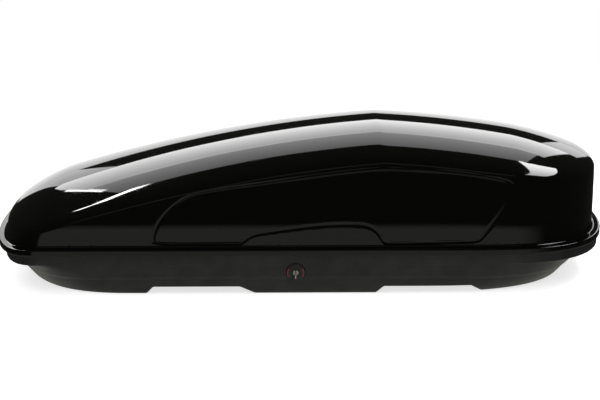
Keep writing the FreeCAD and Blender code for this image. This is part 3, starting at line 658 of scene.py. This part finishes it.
def make_key(place):
    """A flat key with a milled blade and a drilled round bow, seen edge-on."""
    bm = bmesh.new()
    bow_y, bow_radius, mouth = 19.0, 12.0, 26
    bow = []
    for i in range(33):
        turn = math.radians(-90 + mouth) + math.radians(360 - 2 * mouth) * i / 32
        bow.append((bow_radius * math.cos(turn), bow_y + bow_radius * math.sin(turn)))
    shank = [(-4.8, 6.2), (-3.7, 5.4), (-3.7, -10.0), (-2.4, -13.2), (0.6, -13.2), (1.6, -11.4), (2.4, -12.0),
             (3.2, -9.6), (2.2, -7.8), (3.4, -5.8), (2.4, -3.4), (3.7, -1.6), (3.7, 5.4), (4.8, 6.2)]
    across = place @ Matrix(((0, 0, 1, 0), (1, 0, 0, 0), (0, 1, 0, 0), (0, 0, 0, 1)))
    across = across @ Matrix.Translation((0, 0, -1.2 * MM))
    add_prism(bm, bow + shank, 2.4, across, bevel=0.35)
    key = finish_mesh("key_form", bm, smooth=False)
    bm = bmesh.new()
    turns = [math.pi * i / 10 for i in range(20)]
    hole = [(3.5 * math.cos(t), 25.0 + 3.5 * math.sin(t)) for t in turns]
    add_prism(bm, hole, 8.0, across @ Matrix.Translation((0, 0, -3 * MM)))
    cut_away(key, bm)
    finish_piece(key, "key", ["key"])


def make_strap(name, station):
    """Webbing laid across the floor rails, a little loose, with its ends tucked outside them."""
    bm = bmesh.new()
    top = RAIL_TOP + 0.3
    reach = STRAP_REACH
    path = [(-reach - 2.2, FLOOR_TOP + 1.2), (-reach - 2.2, top - 1.5), (-reach - 0.6, top + 0.4)]
    for i in range(61):
        y = -reach + 3 + (2 * reach - 6) * i / 60
        path.append((y, top + 0.6 + 1.4 * math.sin(y / 46.0 + station) * math.cos(y / 300.0) ** 2 + 0.9))
    path += [(reach + 0.6, top + 0.4), (reach + 2.2, top - 1.5), (reach + 2.2, FLOOR_TOP + 1.2)]
    half, thick = 12.5, 1.5
    under = [(-half, 0.4), (-half + 0.5, 0), (-half + 3, 0.12), (0, 0), (half - 3, 0.12), (half - 0.5, 0),
             (half, 0.4)]
    section = under + [(x, thick - h) for x, h in under[::-1]]
    rings = []
    for i, (y, z) in enumerate(path):
        before, after = Vector(path[max(0, i - 1)]), Vector(path[min(len(path) - 1, i + 1)])
        way = (after - before).normalized()
        wander = 1.2 * math.sin(y / 70.0 + station)
        rings.append([bm.verts.new(Vector((station + wander + x, y - way.y * h, z + way.x * h)) * MM)
                      for x, h in section])
    add_sweep(bm, rings)
    finish_piece(finish_mesh("strap_webbing_" + name, bm), "base", ["cargo_strap_" + name])


def rounded_rectangle(half_x, half_y, radius, centre=(0, 0)):
    """The outline of a rectangle with round corners."""
    steps = 5
    outline = []
    for quarter, (sx, sy) in enumerate(((1, 1), (-1, 1), (-1, -1), (1, -1))):
        for i in range(steps + 1):
            turn = math.pi / 2 * (quarter + i / steps)
            outline.append((centre[0] + sx * (half_x - radius) + radius * math.cos(turn),
                            centre[1] + sy * (half_y - radius) + radius * math.sin(turn)))
    return outline


def make_buckle(name, station):
    """A cam buckle: a rounded body with a window, and the lever lying on it."""
    bm = bmesh.new()
    place = Matrix.Translation(Vector((station, 82.0, RAIL_TOP + 4.0)) * MM)
    for side in (-1, 1):
        rail = rounded_rectangle(2.6, 22.0, 1.8, centre=(side * 15.4, 0))
        add_prism(bm, rail, 8.4, place, bevel=0.9)
    for y in (-19.5, 10.5, 19.8):
        bar = rounded_rectangle(15.6, 1.9, 1.4, centre=(0, y))
        add_prism(bm, bar, 5.6, place @ Matrix.Translation((0, 0, 1.4 * MM)), bevel=0.7)
    lever = rounded_rectangle(12.2, 12.0, 3.0, centre=(0, -5))
    tilt = place @ Matrix.Translation((0, 0, 4.2 * MM)) @ Matrix.Rotation(math.radians(4), 4, "X")
    add_prism(bm, lever, 3.0, tilt, bevel=0.8)
    for i in range(5):
        grip = rounded_rectangle(9.0, 0.8, 0.7, centre=(0, -14 + 2.6 * i))
        add_prism(bm, grip, 0.9, tilt @ Matrix.Translation((0, 0, 2.8 * MM)), bevel=0.3)
    buckle = finish_mesh("buckle_form_" + name, bm, smooth=False)
    finish_piece(buckle, "base", ["strap_buckle_" + name])


# ---- materials ------------------------------------------------------------

class Shader:
    """A small helper that builds one procedural material."""

    def __init__(self, name, color, roughness, metallic=0.0, **inputs):
        self.material = bpy.data.materials.new(name)
        self.material.use_nodes = True
        self.tree = self.material.node_tree
        self.bsdf = self.tree.nodes["Principled BSDF"]
        self.bsdf.inputs["Base Color"].default_value = (*color, 1)
        self.bsdf.inputs["Roughness"].default_value = roughness
        self.bsdf.inputs["Metallic"].default_value = metallic
        for key, value in inputs.items():
            self.bsdf.inputs[key.replace("_", " ")].default_value = value
        self.coordinates = self.tree.nodes.new("ShaderNodeTexCoord")
        self.last_normal = None

    def node(self, kind, **settings):
        """A new node; each setting is a property of it, or else the value of a socket."""
        made = self.tree.nodes.new(kind)
        for key, value in settings.items():
            if hasattr(made, key):
                setattr(made, key, value)
            else:
                made.inputs[key.replace("_", " ")].default_value = value
        return made

    def space(self, stretch=(1, 1, 1)):
        """The object's own coordinates in metres, scaled."""
        mapping = self.node("ShaderNodeMapping")
        mapping.inputs["Scale"].default_value = stretch
        self.tree.links.new(self.coordinates.outputs["Object"], mapping.inputs["Vector"])
        return mapping.outputs["Vector"]

    def noise(self, scale, detail, stretch=(1, 1, 1)):
        made = self.node("ShaderNodeTexNoise", Scale=scale, Detail=detail, Roughness=0.55)
        self.tree.links.new(self.space(stretch), made.inputs["Vector"])
        return made.outputs["Fac"]

    def voronoi(self, scale):
        made = self.node("ShaderNodeTexVoronoi", Scale=scale, feature="F1")
        self.tree.links.new(self.space(), made.inputs["Vector"])
        return made.outputs["Distance"]

    def ramp(self, source, low, high, out_low, out_high):
        """Maps a value from one range to another, held at its ends."""
        made = self.node("ShaderNodeMapRange")
        for key, value in zip(("From Min", "From Max", "To Min", "To Max"), (low, high, out_low, out_high)):
            made.inputs[key].default_value = value
        self.tree.links.new(source, made.inputs["Value"])
        return made.outputs["Result"]

    def colors(self, source, low, high, color_low, color_high):
        """Base colour between two colours, as the source goes from low to high."""
        made = self.node("ShaderNodeMix", data_type="RGBA")
        self.tree.links.new(self.ramp(source, low, high, 0, 1), made.inputs["Factor"])
        made.inputs["A"].default_value = (*color_low, 1)
        made.inputs["B"].default_value = (*color_high, 1)
        self.tree.links.new(made.outputs["Result"], self.bsdf.inputs["Base Color"])

    def roughen(self, source, low, high, out_low, out_high):
        self.tree.links.new(self.ramp(source, low, high, out_low, out_high), self.bsdf.inputs["Roughness"])

    def bump(self, source, strength, distance):
        made = self.node("ShaderNodeBump", Strength=strength, Distance=distance)
        self.tree.links.new(source, made.inputs["Height"])
        if self.last_normal:
            self.tree.links.new(self.last_normal, made.inputs["Normal"])
        self.last_normal = made.outputs["Normal"]
        self.tree.links.new(self.last_normal, self.bsdf.inputs["Normal"])


def gloss_shell():
    """Formed ABS with a hard gloss: broad faint ripples, fine orange peel, a little dust."""
    shader = Shader("gloss_shell", (0.0014, 0.0014, 0.0013), 0.04, IOR=1.49)
    shader.bump(shader.noise(5.0, 1.0), 0.10, 0.0018)
    shader.bump(shader.noise(260.0, 2.0), 0.05, 0.0001)
    shader.roughen(shader.noise(14.0, 6.0), 0.35, 0.75, 0.02, 0.06)
    shader.colors(shader.noise(900.0, 2.0), 0.70, 0.78, (0.0014, 0.0014, 0.0013), (0.010, 0.010, 0.009))
    return shader.material


def satin_shell():
    """Formed ABS with a fine leather grain, paler where it has been handled."""
    shader = Shader("satin_shell", (0.010, 0.010, 0.0105), 0.34, IOR=1.49)
    shader.bump(shader.noise(6.0, 1.0), 0.10, 0.0015)
    shader.bump(shader.voronoi(520.0), 0.22, 0.0005)
    shader.bump(shader.noise(1300.0, 3.0), 0.15, 0.0003)
    shader.roughen(shader.noise(9.0, 6.0), 0.3, 0.75, 0.27, 0.42)
    shader.colors(shader.noise(22.0, 8.0), 0.35, 0.75, (0.008, 0.008, 0.0085), (0.016, 0.016, 0.0165))
    return shader.material


def moulded_black():
    """Injection-moulded plastic with a fine matt grain."""
    shader = Shader("moulded_black", (0.012, 0.012, 0.012), 0.4)
    shader.bump(shader.noise(1500.0, 3.0), 0.25, 0.0002)
    shader.roughen(shader.noise(60.0, 5.0), 0.3, 0.7, 0.3, 0.5)
    shader.colors(shader.noise(80.0, 6.0), 0.4, 0.8, (0.010, 0.010, 0.010), (0.022, 0.022, 0.022))
    return shader.material


def metal(name, color, dark, roughness, grain=(1, 1, 1), scale=500.0):
    """Plated or ground metal: grain along one axis, blotches in colour and roughness."""
    shader = Shader(name, color, roughness, 1.0)
    shader.bump(shader.noise(scale, 3.0, grain), 0.18, 0.0002)
    shader.roughen(shader.noise(90.0, 6.0, grain), 0.3, 0.7, roughness * 0.75, roughness * 1.35)
    shader.colors(shader.noise(70.0, 7.0), 0.35, 0.7, dark, color)
    return shader.material


def zinc_steel():
    return metal("zinc_steel", (0.60, 0.61, 0.60), (0.47, 0.48, 0.50), 0.34)


def aluminium():
    return metal("aluminium", (0.78, 0.79, 0.80), (0.66, 0.67, 0.68), 0.30, (0.03, 1, 1), 900.0)


def lock_metal():
    return metal("lock_metal", (0.86, 0.85, 0.82), (0.70, 0.69, 0.66), 0.26, (1, 1, 1), 1500.0)


def key_metal():
    return metal("key_metal", (0.93, 0.91, 0.87), (0.78, 0.75, 0.69), 0.34, (1, 0.1, 1), 1200.0)


def polished_steel():
    return metal("polished_steel", (0.78, 0.78, 0.79), (0.66, 0.66, 0.68), 0.12, (1, 1, 0.05), 900.0)


def painted(name, color, worn, roughness):
    """Smooth paint or moulded colour with small worn specks."""
    shader = Shader(name, color, roughness)
    shader.bump(shader.noise(700.0, 2.0), 0.12, 0.0002)
    shader.roughen(shader.noise(120.0, 5.0), 0.3, 0.7, roughness * 0.8, roughness * 1.3)
    shader.colors(shader.noise(240.0, 8.0), 0.62, 0.80, color, worn)
    return shader.material


def black_rivet():
    return painted("black_rivet", (0.016, 0.016, 0.017), (0.10, 0.10, 0.10), 0.30)


def strut_black():
    return painted("strut_black", (0.013, 0.013, 0.014), (0.04, 0.04, 0.04), 0.28)


def red_indicator():
    return painted("red_indicator", (0.17, 0.010, 0.012), (0.09, 0.008, 0.010), 0.40)


def webbing():
    """Woven polypropylene: ribs across the strap, a finer weave along it, with shade painted into the grooves
    between the ribs.
    """
    shader = Shader("webbing", (0.018, 0.018, 0.020), 0.75)
    ribs = shader.node("ShaderNodeTexWave", Scale=190.0, Distortion=0.4, bands_direction="Y")
    weave = shader.node("ShaderNodeTexWave", Scale=260.0, Distortion=0.6, bands_direction="X")
    for wave in (ribs, weave):
        shader.tree.links.new(shader.space(), wave.inputs["Vector"])
        shader.bump(wave.outputs["Fac"], 0.6, 0.0005)
    shader.bump(shader.noise(2600.0, 3.0), 0.3, 0.0002)
    shader.roughen(shader.noise(300.0, 4.0), 0.3, 0.7, 0.65, 0.85)
    # Painted shade: the base colour follows the ribs' wave, darker in the grooves between the ribs and lighter
    # on their tops.
    shader.colors(ribs.outputs["Fac"], 0.2, 0.9, (0.010, 0.010, 0.011), (0.035, 0.035, 0.038))
    return shader.material


MATERIALS = {"gloss_shell": gloss_shell, "satin_shell": satin_shell, "zinc_steel": zinc_steel,
             "aluminium": aluminium, "black_rivet": black_rivet, "moulded_black": moulded_black,
             "red_indicator": red_indicator, "lock_metal": lock_metal, "key_metal": key_metal,
             "strut_black": strut_black, "polished_steel": polished_steel, "webbing": webbing}


def paint(pieces):
    """Gives the new pieces and every CAD node the material of its slot."""
    made = {slot: build() for slot, build in MATERIALS.items()}
    for piece, slot in pieces:
        piece.data.materials.clear()
        piece.data.materials.append(made[slot])
    for part in frame["record"]["subparts"]:
        node = frame["nodes"][part["node"]]
        for index in range(len(node.material_slots)):
            node.material_slots[index].material = made[part["material_slot"]]


# ---- studio ---------------------------------------------------------------

def area_light(name, size, place, target, radiance, roll=0.0, glossy=True):
    """A rectangular soft light, turned by roll degrees; radiance is how bright its face looks."""
    data = bpy.data.lights.new(name, "AREA")
    data.shape = "RECTANGLE"
    data.size, data.size_y = size
    data.energy = radiance * math.pi * size[0] * size[1]
    light = bpy.data.objects.new(name, data)
    aim = (Vector(target) - Vector(place)).to_track_quat("-Z", "Y")
    spin = Quaternion((0, 0, 1), math.radians(roll))
    light.location = place
    light.rotation_euler = (aim @ spin).to_euler()
    light.visible_camera = False
    light.visible_glossy = glossy
    bpy.context.scene.collection.objects.link(light)
    return light


def back_panel(name, xs, zs, radiance, roll=0.0, fade=1.0):
    """A light that stands BACK_Y behind the box and faces it; its top is fade times as bright as its foot."""
    middle = ((xs[0] + xs[1]) / 2, BACK_Y, (zs[0] + zs[1]) / 2)
    size = (xs[1] - xs[0], zs[1] - zs[0])
    light = area_light(name, size, middle, (middle[0], 0, middle[2]), radiance, roll)
    if fade != 1.0:
        light.data.use_nodes = True
        nodes, links = light.data.node_tree.nodes, light.data.node_tree.links
        place = nodes.new("ShaderNodeNewGeometry")
        split = nodes.new("ShaderNodeSeparateXYZ")
        level = nodes.new("ShaderNodeMapRange")
        level.inputs["To Min"].default_value = 1.0
        level.inputs["To Max"].default_value = fade
        links.new(place.outputs["Parametric"], split.inputs["Vector"])
        links.new(split.outputs["Y"], level.inputs["Value"])
        links.new(level.outputs["Result"], nodes["Emission"].inputs["Strength"])


def make_floor():
    """A pale floor that glows a little, so that the box stands on white. The lid doesn't mirror it."""
    bm = bmesh.new()
    corners = [(-FLOOR_EDGE, -FLOOR_EDGE, 0), (FLOOR_EDGE, -FLOOR_EDGE, 0),
               (FLOOR_EDGE, FLOOR_BACK, 0), (-FLOOR_EDGE, FLOOR_BACK, 0)]
    bm.faces.new([bm.verts.new(c) for c in corners])
    bmesh.ops.subdivide_edges(bm, edges=bm.edges, cuts=24, use_grid_fill=True)
    floor = new_object("floor", bm)
    floor.visible_glossy = False
    shader = Shader("pale_floor", (0.80, 0.80, 0.80), 0.65)
    shader.colors(shader.noise(1.5, 3.0), 0.3, 0.7, (0.78, 0.78, 0.78), (0.82, 0.82, 0.82))
    shader.bsdf.inputs["Emission Color"].default_value = (1, 1, 1, 1)
    shader.bsdf.inputs["Emission Strength"].default_value = 0.72
    shader.bump(shader.noise(60.0, 4.0), 0.05, 0.002)
    floor.data.materials.append(shader.material)


def make_world():
    """White to the camera. Everything else meets a dim room, and a pale floor ahead and below."""
    world = bpy.data.worlds.new("studio")
    bpy.context.scene.world = world
    world.use_nodes = True
    nodes, links = world.node_tree.nodes, world.node_tree.links
    nodes.clear()
    coordinates = nodes.new("ShaderNodeTexCoord")
    split = nodes.new("ShaderNodeSeparateXYZ")
    links.new(coordinates.outputs["Generated"], split.inputs["Vector"])

    def ramp(source, *ends):
        made = nodes.new("ShaderNodeMapRange")
        for key, value in zip(("From Min", "From Max", "To Min", "To Max"), ends):
            made.inputs[key].default_value = value
        links.new(source, made.inputs["Value"])
        return made.outputs["Result"]

    def combine(operation, first, second):
        made = nodes.new("ShaderNodeMath")
        made.operation = operation
        links.new(first, made.inputs[0])
        links.new(second, made.inputs[1])
        return made.outputs["Value"]

    # The pale floor as the lid mirrors it: ahead, a window in the direction's X, Y and Z; below, everything
    left = ramp(split.outputs["X"], -0.34, -0.27, 0, 1)
    right = ramp(split.outputs["X"], 0.4, 0.7, 1, 0)
    front = combine("MULTIPLY", left, right)
    front = combine("MULTIPLY", front, ramp(split.outputs["Y"], -0.6, -0.4, 1, 0))
    front = combine("MULTIPLY", front, ramp(split.outputs["Z"], -0.13, -0.08, 1, 0))
    below = ramp(split.outputs["Z"], -0.50, -0.34, 1, 0)
    lit = combine("MAXIMUM", front, below)
    glow = ramp(lit, 0, 1, ROOM_GLOW, FLOOR_GLOW)

    output = nodes.new("ShaderNodeOutputWorld")
    mix = nodes.new("ShaderNodeMixShader")
    path = nodes.new("ShaderNodeLightPath")
    room, white = nodes.new("ShaderNodeBackground"), nodes.new("ShaderNodeBackground")
    room.inputs["Color"].default_value = (1.0, 1.0, 0.90, 1)
    links.new(glow, room.inputs["Strength"])
    white.inputs["Color"].default_value = (1, 1, 1, 1)
    links.new(path.outputs["Is Camera Ray"], mix.inputs["Fac"])
    links.new(room.outputs["Background"], mix.inputs[1])
    links.new(white.outputs["Background"], mix.inputs[2])
    links.new(mix.outputs["Shader"], output.inputs["Surface"])


def make_lights():
    """The panels that the gloss lid mirrors, and a wide fill that it doesn't."""
    back_panel("back_low", (-2.15, 2.25), (-0.50, 0.82), 1.35)
    back_panel("back_bright", (-2.2, 2.2), (1.435, 2.36), 3.5, fade=0.65)
    back_panel("back_grey_tail", (0.28, 2.12), (2.27, 3.22), 1.5, roll=4.0, fade=0.6)
    back_panel("back_grey_nose", (-2.22, 0.32), (2.27, 3.20), 1.5, roll=-2.0, fade=0.6)
    back_panel("back_nose", (-2.20, -1.66), (0.10, 1.46), 1.5, roll=8.0)
    back_panel("back_tail", (1.85, 2.3), (0.82, 1.435), 1.8)
    back_panel("hood_edge", (-2.24, -2.17), (1.95, 2.75), 12.0)
    back_panel("nose_line", (-2.97, -1.70), (3.27, 3.36), 20.0, roll=24.0)
    area_light("tail_patch", (1.0, 4.6), (2.95, 1.7, 4.0), (2.95, 1.7, 0), 8.5)
    area_light("front_high", (5.0, 1.6), (0, -3.5, 3.2), (0, 0, 0.9), 0.2)
    area_light("overhead_fill", (14.0, 14.0), (0, -0.5, 5.0), (0, -0.5, 0), 1.2, glossy=False)


def make_camera():
    data = bpy.data.cameras.new("camera")
    data.sensor_width = 36.0
    data.lens = LENS
    data.clip_end = 100.0
    camera = bpy.data.objects.new("camera", data)
    pitch, roll = math.radians(90 - CAMERA_FALL), math.radians(CAMERA_ROLL)
    place = Matrix.Translation(CAMERA_PLACE) @ Matrix.Rotation(pitch, 4, "X")
    camera.matrix_world = place @ Matrix.Rotation(roll, 4, "Z")
    bpy.context.scene.collection.objects.link(camera)
    bpy.context.scene.camera = camera


def build():
    """The studio first, then the new pieces, then everything's material."""
    make_camera()
    make_world()
    make_lights()
    make_floor()
    before = set(bpy.data.objects)
    make_lid()
    make_base()
    make_catch_rivets()
    make_lock()
    for name, station in STRAP_STATIONS.items():
        make_strap(name, station)
        make_buckle(name, station)
    slots = {"lid_form": "gloss_shell", "base_form": "satin_shell", "catch_rivet_heads": "black_rivet",
             "lock_rosette": "moulded_black", "lock_red_arcs": "red_indicator", "lock_plug": "lock_metal",
             "key_form": "key_metal", "strap": "webbing", "buckle": "moulded_black"}
    made = [o for o in bpy.data.objects if o not in before]
    paint([(o, next(s for key, s in slots.items() if o.name.startswith(key))) for o in made])
    bpy.context.scene.view_settings.view_transform = "Standard"


build()
